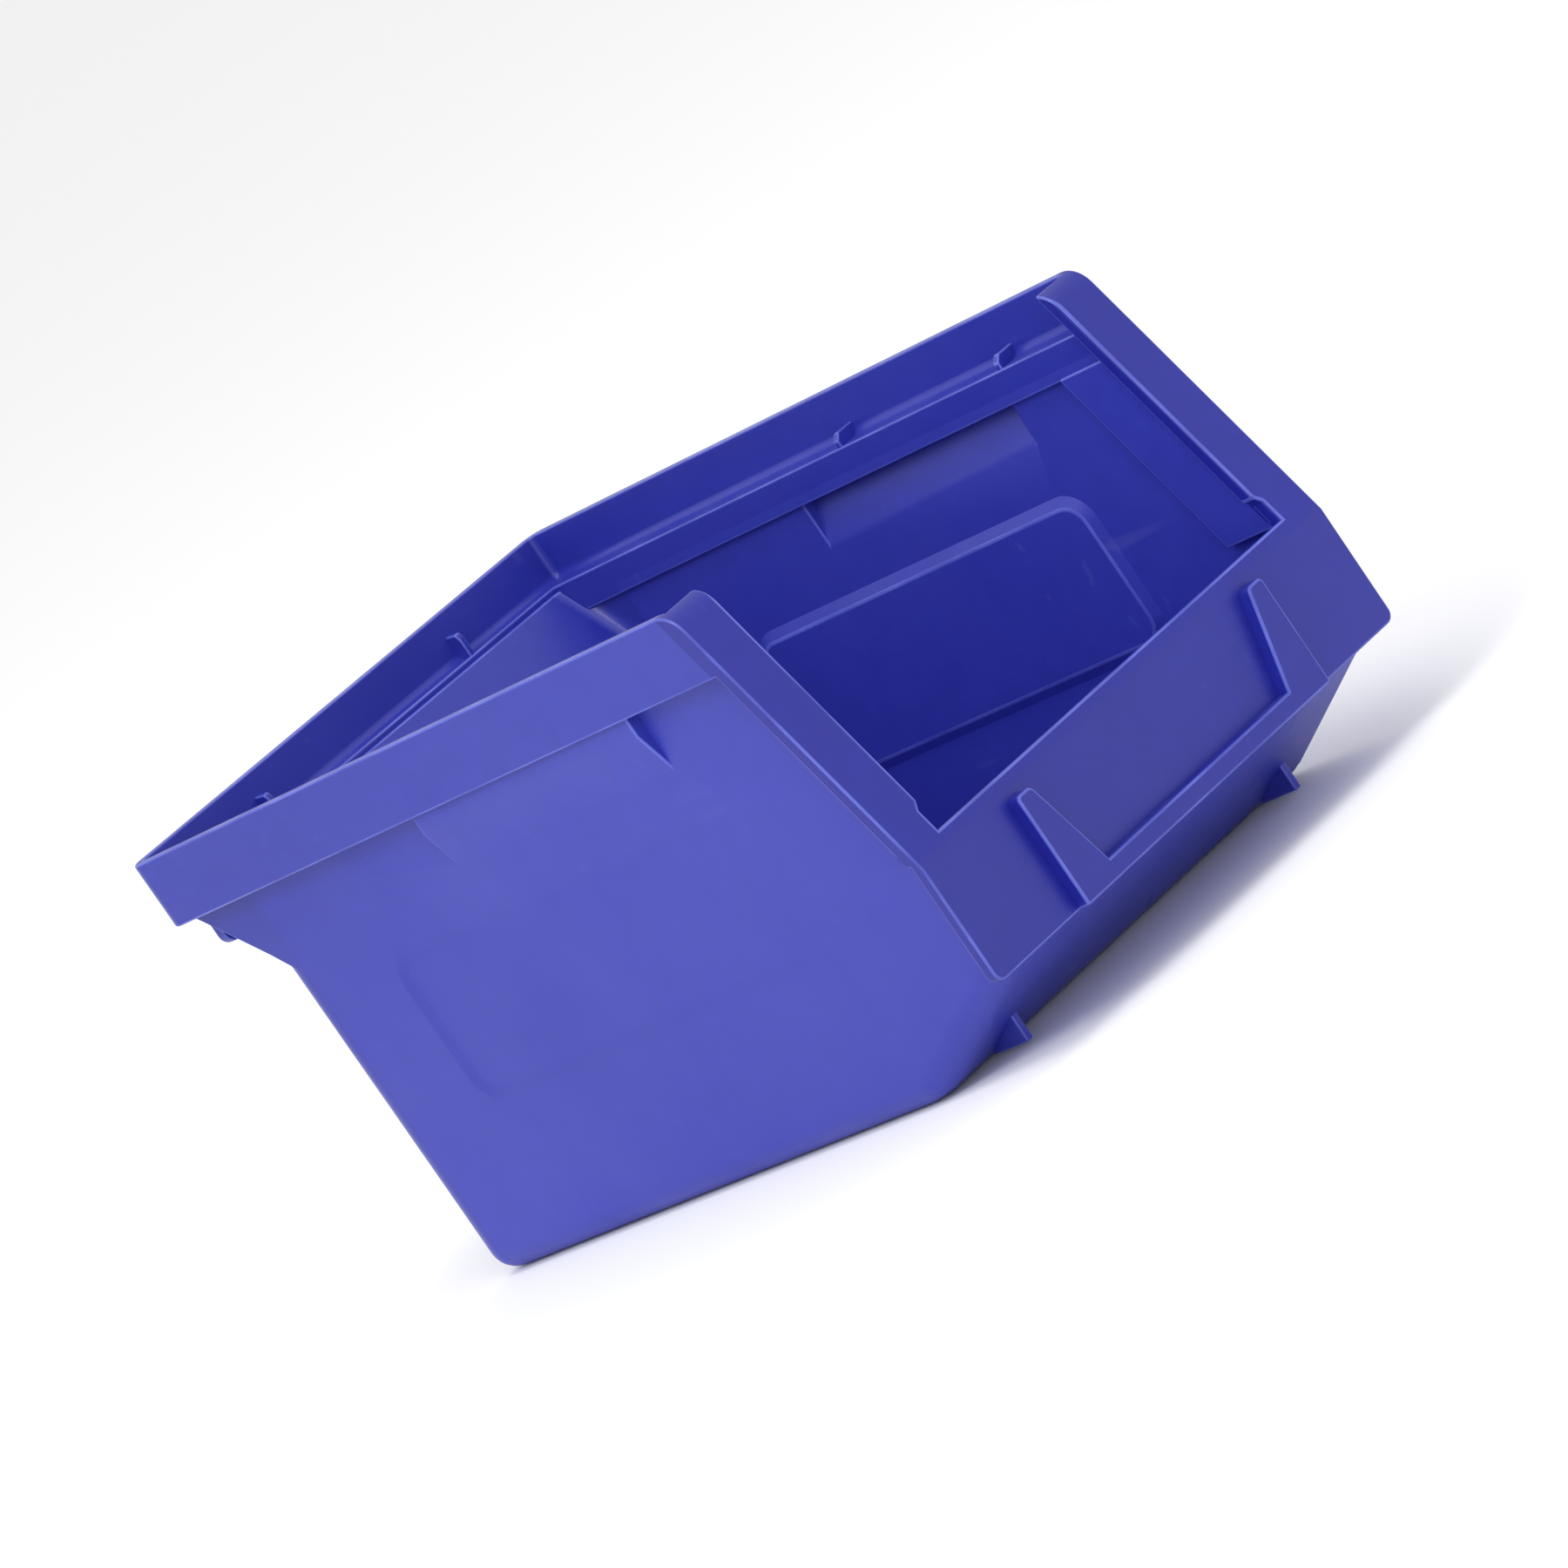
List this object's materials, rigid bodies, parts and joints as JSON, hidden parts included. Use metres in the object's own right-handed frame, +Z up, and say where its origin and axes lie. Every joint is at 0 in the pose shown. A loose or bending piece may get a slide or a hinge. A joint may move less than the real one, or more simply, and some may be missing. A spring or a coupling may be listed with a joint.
{
  "type": "hanging parts bin",
  "caption": "Open-front plastic storage bin with a label plate, sloping front sides, a stacking rim and a hanging lip at the back.",
  "frame": {"origin": "under the middle of the bin's box, at the level of its base", "axes": "+X to the right as the label is read, +Y to the back where the bin hangs, +Z up"},
  "size_m": [0.152, 0.235, 0.124],
  "materials": {
    "blue_polypropylene": "satin moulded polypropylene"
  },
  "bodies": {
    "root": {"back_ledge": "blue_polypropylene", "back_lip": "blue_polypropylene", "back_shoulder": "blue_polypropylene", "back_wall": "blue_polypropylene", "floor_panel": "blue_polypropylene", "front_chin": "blue_polypropylene", "hanging_lip": "blue_polypropylene", "label_ledge": "blue_polypropylene", "label_plate": "blue_polypropylene", "left_back_stop": "blue_polypropylene", "left_chin_fin": "blue_polypropylene", "left_front_band": "blue_polypropylene", "left_front_stop": "blue_polypropylene", "left_front_strip": "blue_polypropylene", "left_grip_pocket": "blue_polypropylene", "left_label_rib": "blue_polypropylene", "left_ledge": "blue_polypropylene", "left_lip": "blue_polypropylene", "left_rear_stop": "blue_polypropylene", "left_shoulder_cheek": "blue_polypropylene", "left_upper_band": "blue_polypropylene", "left_wall": "blue_polypropylene", "left_wall_panel": "blue_polypropylene", "right_back_stop": "blue_polypropylene", "right_chin_fin": "blue_polypropylene", "right_front_band": "blue_polypropylene", "right_front_stop": "blue_polypropylene", "right_front_strip": "blue_polypropylene", "right_grip_pocket": "blue_polypropylene", "right_label_rib": "blue_polypropylene", "right_ledge": "blue_polypropylene", "right_lip": "blue_polypropylene", "right_rear_stop": "blue_polypropylene", "right_shoulder_cheek": "blue_polypropylene", "right_upper_band": "blue_polypropylene", "right_wall": "blue_polypropylene", "right_wall_panel": "blue_polypropylene"}
  },
  "joints": []
}
